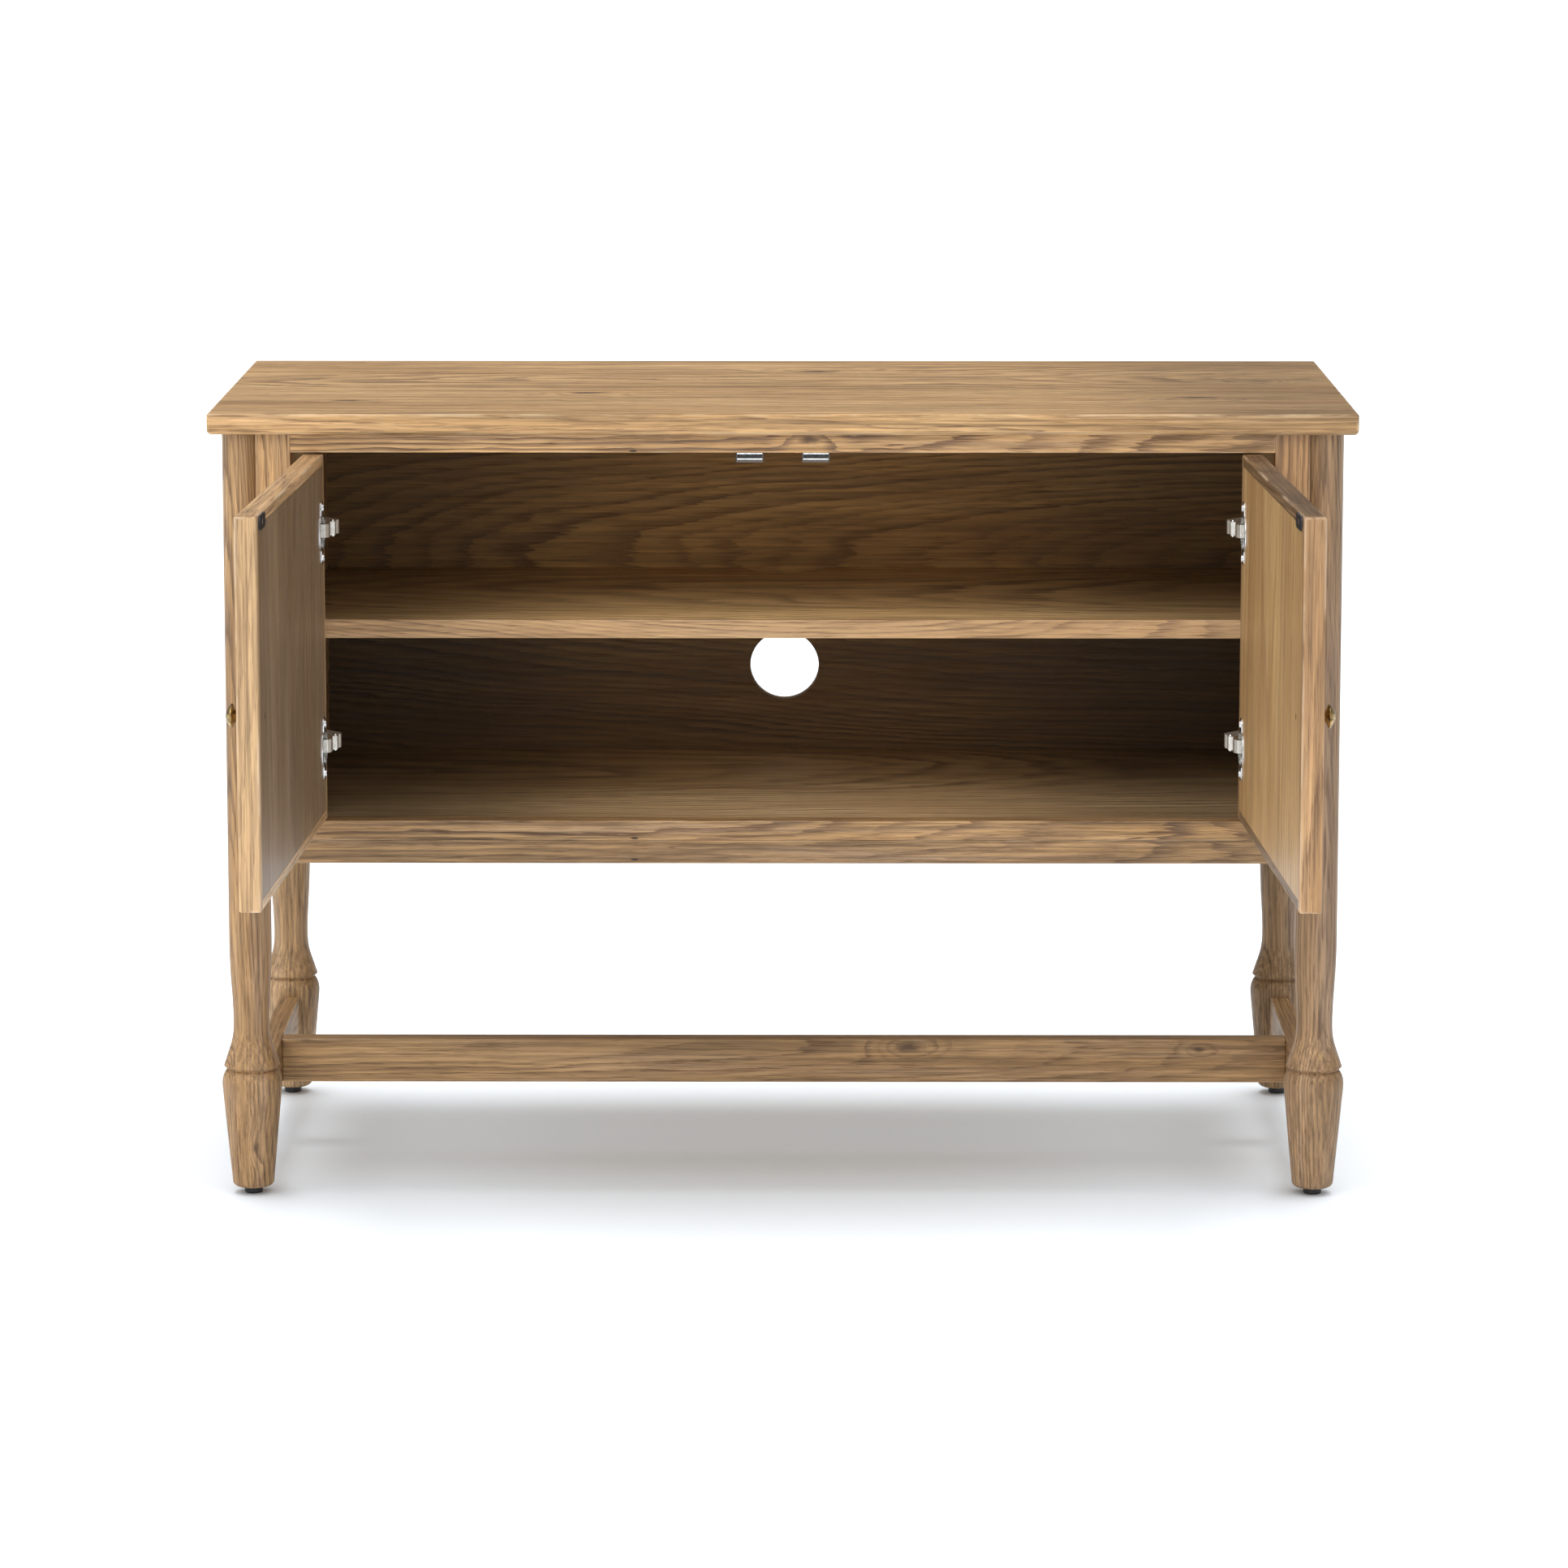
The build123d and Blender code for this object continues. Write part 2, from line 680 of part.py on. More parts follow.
def catch_housing(x):
    """The moulded case under the ceiling board, with an ear for a screw at each end."""
    half = catch_length / 2
    case = block(x - half, x + half, catch_body_front, catch_body_front + catch_depth,
                 ceiling_bottom - catch_drop, ceiling_bottom)
    case = fillet(case.edges().filter_by(Axis.Z), catch_wall)
    middle = catch_body_front + catch_depth / 2
    face = Plane(origin=(x, middle, ceiling_bottom - catch_ear_thickness))
    case += stadium(catch_length + 2 * catch_ear_length, catch_ear_width, face, catch_ear_thickness)
    return case - catch_poles(x) - catch_magnet(x) - catch_screw_pair(x)


catch_places = (-catch_from_middle, catch_from_middle)
catch_screws = [s for x in catch_places for s in catch_screw_pair(x)]
save("catch_housings", *[catch_housing(x) for x in catch_places])
save("catch_magnets", *[catch_magnet(x) for x in catch_places])
save("catch_poles", *[pole for x in catch_places for pole in catch_poles(x)])
save("catch_screws", *catch_screws)
save("ceiling_panel", ceiling_board - back_board - dowels - screws_up - catch_screws)

# ---------------------------------------------------------------- knobs and strike plates

knob_x = door_free_edge - knob_from_edge


def knob():
    """A mushroom knob on a small foot, turned about an axis square to the door."""
    neck_start = knob_base_height + knob_foot_chamfer
    rim_height = knob_projection * knob_rim_fraction
    rim_under = (knob_radius - knob_rim_round, rim_height - knob_rim_round)
    rim_over = (knob_radius - knob_rim_round / 2, rim_height + knob_rim_round)
    foot = Polyline((0, 0), (knob_base_radius, 0), (knob_base_radius - knob_foot_chamfer, knob_base_height),
                    (knob_neck_radius, neck_start))
    stem = Spline((knob_neck_radius, neck_start), rim_under, tangents=((0, 1), (1, 0.25)))
    rim = ThreePointArc(rim_under, (knob_radius, rim_height), rim_over)
    crown = Spline(rim_over, (0, knob_projection), tangents=((-1, 0.75), (-1, 0)))
    axis_line = Line((0, knob_projection), (0, 0))
    outline = make_face(Curve() + [foot, stem, rim, crown, axis_line])
    turned = revolve(Plane.XZ * outline, Axis.Z)
    return Plane(origin=(knob_x, frame_front, knob_height), z_dir=(0, -1, 0)) * turned


def knob_screw():
    seat = door_inner - knob_screw_head_height
    reach = door_thickness - knob_screw_head_height + knob_screw_engagement
    return screw(knob_screw_radius, reach, knob_screw_head_radius, knob_screw_head_height,
                 (knob_x, seat, knob_height), (0, -1, 0))


strike_x = -catch_from_middle
strike_z = door_top - strike_from_top


def strike_screw():
    seat = door_inner + strike_thickness - strike_screw_head_height
    return screw(strike_screw_radius, strike_screw_length, strike_screw_head_radius,
                 strike_screw_head_height, (strike_x, seat, strike_z), (0, -1, 0))


def strike_plate():
    face = Plane(origin=(strike_x, door_inner, strike_z), x_dir=(1, 0, 0), z_dir=(0, 1, 0))
    return stadium(strike_length, strike_width, face, strike_thickness) - strike_screw()


# ---------------------------------------------------------------- doors

def door_boards():
    """The veneered core and its four solid edge strips, shut."""
    slab = block(door_hinge_edge, door_free_edge, frame_front, door_inner, door_bottom, door_top)
    slab = ease(slab, door_round)
    for z in hinge_heights:
        slab -= rod(cup_radius, (cup_x, door_inner - cup_depth, z), (cup_x, door_inner + cut_margin, z))
        slab = slab - cup_screws(z)
    slab = slab - knob_screw() - strike_screw()
    left = door_hinge_edge + door_lipping
    right = door_free_edge - door_lipping
    low = door_bottom + door_lipping
    high = door_top - door_lipping
    front = frame_front - cut_margin
    rear = door_inner + cut_margin
    below = door_bottom - cut_margin
    above = door_top + cut_margin
    core = slab & block(left, right, front, rear, low, high)
    edge_strips = [slab & block(door_hinge_edge - cut_margin, left, front, rear, below, above),
                   slab & block(right, door_free_edge + cut_margin, front, rear, below, above),
                   slab & block(left, right, front, rear, below, low),
                   slab & block(left, right, front, rear, high, above)]
    return core, edge_strips


core, strips = door_boards()
door_pieces = {
    "door_core": [core],
    "door_lipping": strips,
    "hinge_cups": [cup(z) for z in hinge_heights],
    "hinge_cup_screws": [s for z in hinge_heights for s in cup_screws(z)],
    "hinge_links": [link(z) for z in hinge_heights],
    "hinge_link_pins": [link_pin(z) for z in hinge_heights],
    "knob": [knob() - knob_screw()],
    "knob_screw": [knob_screw()],
    "strike_plate": [strike_plate()],
    "strike_screw": [strike_screw()],
}
for name, solids in door_pieces.items():
    left_pieces = [opened(piece) for piece in solids]
    save(f"{name}_left", *left_pieces)
    save(f"{name}_right", *[mirrored(piece) for piece in left_pieces])
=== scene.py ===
import json
import math

import bpy
from mathutils import Euler, Matrix, Vector

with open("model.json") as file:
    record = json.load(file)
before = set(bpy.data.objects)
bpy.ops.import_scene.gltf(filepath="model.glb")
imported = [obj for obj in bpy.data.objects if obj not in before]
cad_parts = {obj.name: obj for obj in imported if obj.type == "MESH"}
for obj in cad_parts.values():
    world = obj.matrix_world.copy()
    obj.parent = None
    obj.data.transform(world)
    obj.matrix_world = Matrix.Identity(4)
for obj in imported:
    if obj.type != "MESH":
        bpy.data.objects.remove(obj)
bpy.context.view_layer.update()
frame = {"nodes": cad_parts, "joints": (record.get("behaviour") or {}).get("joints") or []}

NODES = frame["nodes"]
SIDES = ("left", "right")
REST_ANGLE = max(-joint["range_deg"][0] for joint in frame["joints"])
PIVOTS = {joint["child"]: Vector(joint["pos_m"]) for joint in frame["joints"]}


# ---------------------------------------------------------------- node graph shorthand

class Graph:
    """Builds nodes in one tree. Inputs may be numbers, tuples or sockets."""

    def __init__(self, tree):
        self.tree = tree

    def feed(self, socket, value):
        if isinstance(value, bpy.types.NodeSocket):
            self.tree.links.new(value, socket)
        elif value is not None:
            socket.default_value = value

    def node(self, kind, **settings):
        made = self.tree.nodes.new(kind)
        for key, value in settings.items():
            setattr(made, key, value)
        return made

    def math(self, operation, a, b=None, c=None):
        made = self.node("ShaderNodeMath", operation=operation)
        for socket, value in zip(made.inputs, (a, b, c)):
            self.feed(socket, value)
        return made.outputs[0]

    def vector(self, operation, a, b=None):
        made = self.node("ShaderNodeVectorMath", operation=operation)
        self.feed(made.inputs[0], a)
        if operation == "SCALE":
            self.feed(made.inputs["Scale"], b)
        elif b is not None:
            self.feed(made.inputs[1], b)
        return made.outputs["Value" if operation == "LENGTH" else "Vector"]

    def combine(self, x, y, z):
        made = self.node("ShaderNodeCombineXYZ")
        for socket, value in zip(made.inputs, (x, y, z)):
            self.feed(socket, value)
        return made.outputs[0]

    def separate(self, vector):
        made = self.node("ShaderNodeSeparateXYZ")
        self.feed(made.inputs[0], vector)
        return made.outputs

    def noise(self, vector, scale=1.0, detail=2.0, roughness=0.5, distortion=0.0, colour=False):
        made = self.node("ShaderNodeTexNoise")
        self.feed(made.inputs["Vector"], vector)
        self.feed(made.inputs["Scale"], scale)
        self.feed(made.inputs["Detail"], detail)
        self.feed(made.inputs["Roughness"], roughness)
        self.feed(made.inputs["Distortion"], distortion)
        return made.outputs["Color" if colour else "Fac"]

    def span(self, value, low, high, to_low=0.0, to_high=1.0):
        """Maps low..high to to_low..to_high with soft ends, clamped."""
        made = self.node("ShaderNodeMapRange", interpolation_type="SMOOTHSTEP")
        for socket, given in zip(made.inputs, (value, low, high, to_low, to_high)):
            self.feed(socket, given)
        return made.outputs[0]

    def mix(self, amount, a, b, blend="MIX"):
        made = self.node("ShaderNodeMix", data_type="RGBA", blend_type=blend)
        self.feed(made.inputs["Factor"], amount)
        for socket, value in ((made.inputs[6], a), (made.inputs[7], b)):
            if isinstance(value, tuple) and len(value) == 3:
                value = (*value, 1.0)
            self.feed(socket, value)
        return made.outputs[2]

    def stretch(self, vector, x, y, z):
        return self.vector("MULTIPLY", vector, (x, y, z))


def group(name, inputs, outputs):
    """An empty node group with its sockets, and the graph to fill it."""
    tree = bpy.data.node_groups.new(name, "ShaderNodeTree")
    for label, kind, value in inputs:
        socket = tree.interface.new_socket(label, in_out="INPUT", socket_type=kind)
        socket.default_value = value
    for label, kind in outputs:
        tree.interface.new_socket(label, in_out="OUTPUT", socket_type=kind)
    graph = Graph(tree)
    return tree, graph, graph.node("NodeGroupInput").outputs, graph.node("NodeGroupOutput").inputs


# ---------------------------------------------------------------- shared wood structure

def grain_group():
    """Solid oak: growth rings round a pith, pores, fibres and slow drifts of colour.

    Place is in metres, with its third part along the grain.
    """
    tree, g, given, out = group(
        "oak_grain",
        [("Place", "NodeSocketVector", (0, 0, 0)), ("Pith", "NodeSocketVector", (0.1, 0.1, 0)),
         ("Lean", "NodeSocketVector", (0, 0, 0)), ("Ring", "NodeSocketFloat", 0.004),
         ("Wander", "NodeSocketFloat", 0.02), ("Seed", "NodeSocketFloat", 0.0),
         ("Push", "NodeSocketFloat", 0.0)],
        [("Early", "NodeSocketFloat"), ("Pores", "NodeSocketFloat"), ("Fibre", "NodeSocketFloat"),
         ("Drift", "NodeSocketFloat"), ("Streak", "NodeSocketFloat"), ("Height", "NodeSocketFloat")])
    place = given["Place"]
    seeded = g.vector("ADD", place, g.combine(given["Seed"], given["Seed"], given["Seed"]))
    along = g.separate(place)[2]
    leaned = g.vector("ADD", place, g.vector("SCALE", given["Lean"], along))
    slow = g.vector("SUBTRACT", g.noise(g.stretch(seeded, 5, 5, 1.5), 1, 1.5, 0.45, colour=True), HALF)
    quick = g.vector("SUBTRACT", g.noise(g.stretch(seeded, 45, 45, 8), 1, 2, 0.5, colour=True), HALF)
    rough = g.vector("SUBTRACT", g.noise(g.stretch(seeded, 420, 420, 22), 1, 1, 0.5, colour=True), HALF)
    bent = g.vector("ADD", leaned, g.vector("SCALE", slow, given["Wander"]))
    bent = g.vector("ADD", bent, g.vector("SCALE", quick, g.math("MULTIPLY", given["Wander"], 0.16)))
    bent = g.vector("ADD", bent, g.vector("SCALE", rough, g.math("MULTIPLY", given["Ring"], 0.55)))
    flat = g.vector("MULTIPLY", g.vector("SUBTRACT", bent, given["Pith"]), (1, 1, 0))
    radius = g.math("ADD", g.vector("LENGTH", flat), given["Push"])
    # Rings are not evenly spaced: a slow wave bunches and spreads them.
    uneven = g.noise(g.combine(g.math("MULTIPLY", radius, 28), given["Seed"], 0), 1, 2, 0.5)
    count = g.math("DIVIDE", g.math("ADD", radius, g.math("MULTIPLY", uneven, 0.02)), given["Ring"])
    turn = g.math("FRACT", count)
    fade = g.span(turn, 0.05, 0.7, 1.0, 0.0)
    rise = g.span(turn, 0.0, 0.07)
    early = g.math("MULTIPLY", fade, rise)
    tone = g.node("ShaderNodeTexWhiteNoise", noise_dimensions="1D")
    g.feed(tone.inputs["W"], g.math("ADD", g.math("FLOOR", count), given["Seed"]))
    early = g.math("MULTIPLY", early, g.math("MULTIPLY_ADD", tone.outputs["Value"], 0.7, 0.3))
    fine = g.noise(g.stretch(seeded, 1150, 1150, 42), 1, 1.5, 0.6)
    coarse = g.noise(g.stretch(seeded, 480, 480, 18), 1, 1, 0.5)
    pores = g.math("MAXIMUM", g.span(fine, 0.58, 0.70), g.math("MULTIPLY", g.span(coarse, 0.57, 0.66), 0.9))
    pores = g.math("MULTIPLY", pores, g.math("MULTIPLY_ADD", early, 0.55, 0.45))
    fibre = g.noise(g.stretch(seeded, 330, 330, 6), 1, 3, 0.65)
    drift = g.noise(g.stretch(seeded, 16, 16, 3.2), 1, 3, 0.55)
    streak = g.noise(g.stretch(seeded, 60, 60, 2.4), 1, 3, 0.6, 0.3)
    height = g.math("SUBTRACT", g.math("MULTIPLY_ADD", fibre, 0.35, 0.6), g.math("MULTIPLY", pores, 0.75))
    height = g.math("SUBTRACT", height, g.math("MULTIPLY", early, 0.22))
    for label, socket in (("Early", early), ("Pores", pores), ("Fibre", fibre), ("Drift", drift),
                          ("Streak", streak), ("Height", height)):
        g.feed(out[label], socket)
    return tree


def edge_group():
    """How far a point on a board's surface is from the nearest edge of the board's box."""
    tree, g, given, out = group(
        "edge_distance",
        [("Place", "NodeSocketVector", (0, 0, 0)), ("Low", "NodeSocketVector", (0, 0, 0)),
         ("High", "NodeSocketVector", (1, 1, 1))],
        [("Distance", "NodeSocketFloat")])
    near = g.vector("MINIMUM", g.vector("SUBTRACT", given["Place"], given["Low"]),
                    g.vector("SUBTRACT", given["High"], given["Place"]))
    x, y, z = g.separate(near)
    lesser = g.math("MINIMUM", x, y)
    greater = g.math("MAXIMUM", x, y)
    g.feed(out["Distance"], g.math("MAXIMUM", lesser, g.math("MINIMUM", greater, z)))
    return tree


HALF = (0.5, 0.5, 0.5)           # a colour noise's middle
METAL_RELIEF = 0.00006           # metres
PLASTIC_RELIEF = 0.0001
PEEL_SCALE = 900.0
KNOT_COLOUR = (0.075, 0.042, 0.026)
HOLE_COLOUR = (0.03, 0.018, 0.012)
GRAIN = grain_group()
EDGE = edge_group()
AXES = {"X": (1, 2, 0), "Y": (0, 2, 1), "Z": (0, 1, 2)}


def use(g, tree, **values):
    made = g.node("ShaderNodeGroup")
    made.node_tree = tree
    for label, value in values.items():
        g.feed(made.inputs[label.replace("_", " ")], value)
    return made.outputs


def door_turn(side):
    """The matrix from the resting door's place to where it would be shut."""
    sign = -1 if side == "left" else 1
    pivot = PIVOTS["door_" + side]
    swing = Matrix.Rotation(math.radians(-REST_ANGLE) * sign, 4, "Z")
    return Matrix.Translation(pivot) @ swing @ Matrix.Translation(-pivot)


def local_box(names, matrix):
    """The box round some nodes, in the frame that the matrix leads to."""
    spots = [matrix @ v.co for n in names for v in NODES[n].data.vertices]
    low = Vector(min(s[i] for s in spots) for i in range(3))
    high = Vector(max(s[i] for s in spots) for i in range(3))
    return low, high


def place_in(g, matrix):
    """Object coordinates, carried through the matrix."""
    spot = g.node("ShaderNodeTexCoord").outputs["Object"]
    if matrix == Matrix.Identity(4):
        return spot
    turn = g.node("ShaderNodeMapping", vector_type="POINT")
    g.feed(turn.inputs["Vector"], spot)
    turn.inputs["Location"].default_value = matrix.to_translation()
    turn.inputs["Rotation"].default_value = matrix.to_euler()
    return turn.outputs[0]


def material(name):
    made = bpy.data.materials.new(name)
    made.use_nodes = True
    made.node_tree.nodes.clear()
    g = Graph(made.node_tree)
    shader = g.node("ShaderNodeBsdfPrincipled")
    g.feed(g.node("ShaderNodeOutputMaterial").inputs["Surface"], shader.outputs[0])
    return made, g, shader


def dress(made, *names):
    for name in names:
        slots = NODES[name].data.materials
        slots.clear()
        slots.append(made)


# ---------------------------------------------------------------- oak

GOLD = {"light": (0.62, 0.405, 0.20), "mid": (0.47, 0.285, 0.13), "dark": (0.17, 0.092, 0.045),
        "grey": (0.34, 0.245, 0.165), "streak": (0.20, 0.125, 0.082), "wear": (0.78, 0.61, 0.42)}


def toned(factor, tint=(1, 1, 1), base=GOLD):
    return {k: tuple(c * factor * t for c, t in zip(v, tint)) for k, v in base.items()}


def oak(name, nodes, axis, pith, colours=GOLD, matrix=Matrix.Identity(4), ring=0.004, wander=0.02,
        lean=(0, 0, 0), seed=0.0, early=0.55, pores=0.8, streaks=0.5, greyness=0.45, wear=0.6,
        wear_width=0.004, relief=0.00035, gloss=0.46, knots=(), cross_ends=0.0,
        seams=None, holes=0.0, strips=0.0, contrast=0.9, cross_tone=1.0, painted_shades=(),
        fade_front_only=False, outer_tint_over_painted_shade=None):
    """One oak material. The pith is counted from the middle of the nodes' box, across the grain.

    Each entry of the shade list fades the colour between two places along x, z or |x|: painted shade,
    on the front face alone when fade_front_only is set. The outer tint multiplies the front face's colour,
    lifting it above base colours that are darkened as painted shade for the back face.
    """
    made, g, shader = material(name)
    place = place_in(g, matrix)
    low, high = local_box(nodes, matrix)
    middle = (low + high) / 2
    centred = g.vector("SUBTRACT", place, tuple(middle))
    parts = g.separate(centred)
    order = AXES[axis]
    u, v, w = (parts[i] for i in order)
    if cross_ends:
        # The strips along the top and bottom run the other way.
        half_height = (high.z - low.z) / 2
        is_cross = g.math("GREATER_THAN", g.math("ABSOLUTE", parts[2]), half_height - cross_ends)
        side_half = (high.x - low.x) / 2
        inside = g.math("LESS_THAN", g.math("ABSOLUTE", parts[0]), side_half - cross_ends)
        is_cross = g.math("MULTIPLY", is_cross, inside)
        straight = g.combine(u, v, w)
        turned = g.combine(g.math("ADD", parts[2], 0.3), parts[1], g.math("ADD", parts[0], 0.7))
        pick = g.node("ShaderNodeMix", data_type="VECTOR")
        g.feed(pick.inputs["Factor"], is_cross)
        g.feed(pick.inputs[4], straight)
        g.feed(pick.inputs[5], turned)
        spot = pick.outputs[1]
    else:
        spot = g.combine(u, v, w)
    push = 0.0
    knot_core = None
    for (ku, kv, kw), size in knots:
        gap = g.vector("SUBTRACT", spot, (ku, kv, kw))
        near = g.vector("LENGTH", g.stretch(gap, 1, 1, 0.42))
        bump = g.span(near, 0.0, size * 3.2, size * 1.5, 0.0)
        push = bump if push == 0.0 else g.math("ADD", push, bump)
        ragged = g.math("MULTIPLY", g.noise(g.stretch(spot, 260, 260, 90), 1, 2), size * 0.9)
        ragged = g.math("ADD", near, ragged)
        core = g.span(ragged, size * 0.55, size * 1.5, 1.0, 0.0)
        knot_core = core if knot_core is None else g.math("MAXIMUM", knot_core, core)
    grain = use(g, GRAIN, Place=spot, Pith=(*pith, 0.0), Lean=lean, Ring=ring, Wander=wander, Seed=seed,
                Push=push)

    colour = g.mix(g.span(grain["Drift"], 0.3, 0.7), colours["mid"], colours["light"])
    colour = g.mix(g.math("MULTIPLY", g.span(grain["Streak"], 0.45, 0.72), greyness), colour, colours["grey"])
    colour = g.mix(g.math("MULTIPLY", grain["Early"], early), colour, colours["streak"])
    bands = g.math("MULTIPLY", grain["Early"], g.span(grain["Drift"], 0.42, 0.62))
    colour = g.mix(g.math("MULTIPLY", bands, streaks), colour, colours["dark"])
    shade = g.math("MULTIPLY_ADD", grain["Fibre"], contrast, 1.0 - contrast / 2)
    slow_shade = g.math("MULTIPLY_ADD", grain["Streak"], 0.7 * contrast, 1.0 - 0.35 * contrast)
    shade = g.math("MULTIPLY", shade, slow_shade)
    ways = {"x": parts[0], "z": parts[2], "|x|": g.math("ABSOLUTE", parts[0])}
    is_front = g.math("LESS_THAN", parts[1], 0.0)
    # Painted shade: each fade darkens the colour along x, z or |x|, on the front face alone if asked.
    for way, start, end, at_start, at_end in painted_shades:
        fade = g.span(ways[way], start, end, at_start, at_end)
        if fade_front_only:
            fade = g.math("MULTIPLY_ADD", is_front, g.math("SUBTRACT", fade, 1.0), 1.0)
        shade = g.math("MULTIPLY", shade, fade)
    if cross_ends:
        shade = g.math("MULTIPLY", shade, g.math("MULTIPLY_ADD", is_cross, cross_tone - 1.0, 1.0))
    if strips:
        number = g.math("FLOOR", g.math("DIVIDE", g.math("ADD", u if axis == "Z" else v, 3.013), strips))
        pick = g.node("ShaderNodeTexWhiteNoise", noise_dimensions="1D")
        g.feed(pick.inputs["W"], g.math("ADD", number, seed))
        shade = g.math("MULTIPLY", shade, g.math("MULTIPLY_ADD", pick.outputs["Value"], 0.14, 0.93))
    colour = g.mix(1.0, colour, g.combine(shade, shade, shade), "MULTIPLY")
    # Painted shade: the base colours stand for the shaded back face, and the outer tint lifts the front face.
    if outer_tint_over_painted_shade:
        colour = g.mix(is_front, colour, g.mix(1.0, colour, outer_tint_over_painted_shade, "MULTIPLY"))
    colour = g.mix(g.math("MULTIPLY", grain["Pores"], pores), colour, colours["dark"])
    if knot_core is not None:
        colour = g.mix(g.math("MULTIPLY", knot_core, 0.85), colour, KNOT_COLOUR)
    if holes:
        cells = g.node("ShaderNodeTexVoronoi", feature="F1")
        g.feed(cells.inputs["Vector"], g.stretch(spot, 22, 22, 7))
        g.feed(cells.inputs["Scale"], 1.0)
        hole = g.span(cells.outputs["Distance"], 0.018, 0.034, holes, 0.0)
        colour = g.mix(hole, colour, HOLE_COLOUR)

    box = use(g, EDGE, Place=place, Low=tuple(low), High=tuple(high))["Distance"]
    patch = g.span(g.noise(g.stretch(spot, 70, 70, 14), 1, 3, 0.6), 0.44, 0.64)
    worn = g.math("MULTIPLY", g.span(box, 0.0, wear_width, 1.0, 0.0), patch)
    scuff = g.span(g.noise(g.stretch(spot, 380, 380, 30), 1, 2, 0.7), 0.66, 0.76)
    scuff = g.math("MULTIPLY", scuff, g.span(g.noise(g.stretch(spot, 30, 30, 5), 1, 2), 0.5, 0.7))
    worn = g.math("MAXIMUM", worn, g.math("MULTIPLY", scuff, 0.7))
    colour = g.mix(g.math("MULTIPLY", worn, wear), colour, colours["wear"])
    if seams:
        centre = (seams[0] + seams[1]) / 2
        half = (seams[1] - seams[0]) / 2
        out_x, _, out_z = g.separate(g.vector("ABSOLUTE", g.vector("SUBTRACT", place, tuple(centre))))
        outline = g.math("MAXIMUM", g.math("SUBTRACT", out_x, half.x), g.math("SUBTRACT", out_z, half.z))
        mark = g.span(g.math("ABSOLUTE", outline), 0.0002, 0.0007, 0.75, 0.0)
        colour = g.mix(mark, colour, colours["dark"])
    g.feed(shader.inputs["Base Color"], colour)
    roughness = g.math("MULTIPLY_ADD", grain["Fibre"], 0.18, gloss - 0.06)
    roughness = g.math("ADD", roughness, g.math("MULTIPLY", grain["Pores"], 0.18))
    g.feed(shader.inputs["Roughness"], roughness)
    shader.inputs["Specular IOR Level"].default_value = 0.35
    bump = g.node("ShaderNodeBump")
    bump.inputs["Strength"].default_value = 0.9
    bump.inputs["Distance"].default_value = relief
    g.feed(bump.inputs["Height"], grain["Height"])
    g.feed(shader.inputs["Normal"], bump.outputs[0])
    dress(made, *nodes)
    return made


# The top darkens to 0.66 of its colour towards its right end: painted shade.
oak("oak_top", ["top_panel"], "X", (0.07, 0.32), lean=(0.0, 0.03, 0), ring=0.0042, wander=0.06, seed=3.1,
    early=0.5, streaks=0.45, greyness=0.3, pores=0.95, wear=0.5, wear_width=0.004, holes=0.9,
    colours=toned(1.02, (1.0, 0.96, 0.88)), painted_shades=(("x", 0.22, 0.48, 1.0, 0.66),), contrast=2.3,
    knots=[((0.14, 0.01, 0.033), 0.014), ((-0.06, 0.01, -0.19), 0.011), ((-0.10, 0.01, 0.40), 0.012),
           ((-0.13, 0.01, -0.42), 0.009), ((0.05, 0.01, 0.47), 0.007)])

POST_PITHS = {"front_left": (-0.05, -0.03), "front_right": (0.012, -0.055), "rear_left": (0.03, -0.045),
              "rear_right": (-0.045, -0.04)}
POST_TONES = {"front_left": (0.70, (1.0, 0.92, 0.83)), "front_right": (0.61, (1.0, 0.95, 0.97)),
              "rear_left": (0.80, (1.0, 0.98, 0.96)), "rear_right": (0.50, (1.0, 0.93, 0.86))}
for number, (corner, pith) in enumerate(POST_PITHS.items()):
    tones = toned(*POST_TONES[corner])
    knots = {"front_left": [((0.004, -0.022, -0.325), 0.004)],
             "front_right": [((0.019, -0.004, 0.215), 0.007),
                             ((0.021, -0.002, -0.055), 0.006)]}.get(corner, [])
    oak("oak_post_" + corner, ["post_" + corner], "Z", pith, colours=tones, lean=(0.03, 0.05, 0), ring=0.0034,
        wander=0.018, seed=11.7 + number * 5.3, early=0.6, streaks=0.6, greyness=0.7, wear=0.35,
        knots=knots, contrast=1.9)

for number, (name, axis, pith, lean) in enumerate((
        ("long_stretcher", "X", (-0.06, 0.015), (0.04, 0.02, 0)),
        ("side_stretcher_left", "Y", (0.05, 0.01), (0.02, 0.02, 0)),
        ("side_stretcher_right", "Y", (-0.05, 0.01), (0.02, 0.03, 0)))):
    knots = [((-0.011, 0.014, 0.125), 0.008), ((-0.011, 0.012, 0.415), 0.004)] if axis == "X" else []
    oak("oak_" + name, [name], axis, pith, colours=toned(0.76, (1.0, 0.94, 0.87)), lean=lean,
        ring=0.0036, wander=0.03,
        seed=31.3 + number * 4.1, early=0.5, streaks=0.35, greyness=0.6, wear=0.5,
        wear_width=0.0025, knots=knots, contrast=1.9)

STRIP_TONES = {"floor_lipping": (0.64, (1.0, 0.90, 0.76)), "lower_rail_front": (0.56, (1.0, 0.92, 0.83)),
               "lower_rail_rear": (0.60, (1.0, 0.92, 0.83)), "ceiling_lipping": (0.96, (1.0, 0.93, 0.84))}
for number, (name, tones) in enumerate(STRIP_TONES.items()):
    is_top = name == "ceiling_lipping"
    knots = [((-0.01, 0.004, 0.025), 0.006)] if is_top else []
    oak("oak_" + name, [name], "X", (-0.045 if number % 2 else -0.06, 0.02), colours=toned(*tones),
        lean=(0.05, 0.03, 0), ring=0.0052, wander=0.05, seed=47.9 + number * 6.7, early=0.9,
        streaks=0.85 if not is_top else 0.45, greyness=0.8, wear=0.6, wear_width=0.0018, relief=0.0006,
        knots=knots, holes=0.9, contrast=2.4)

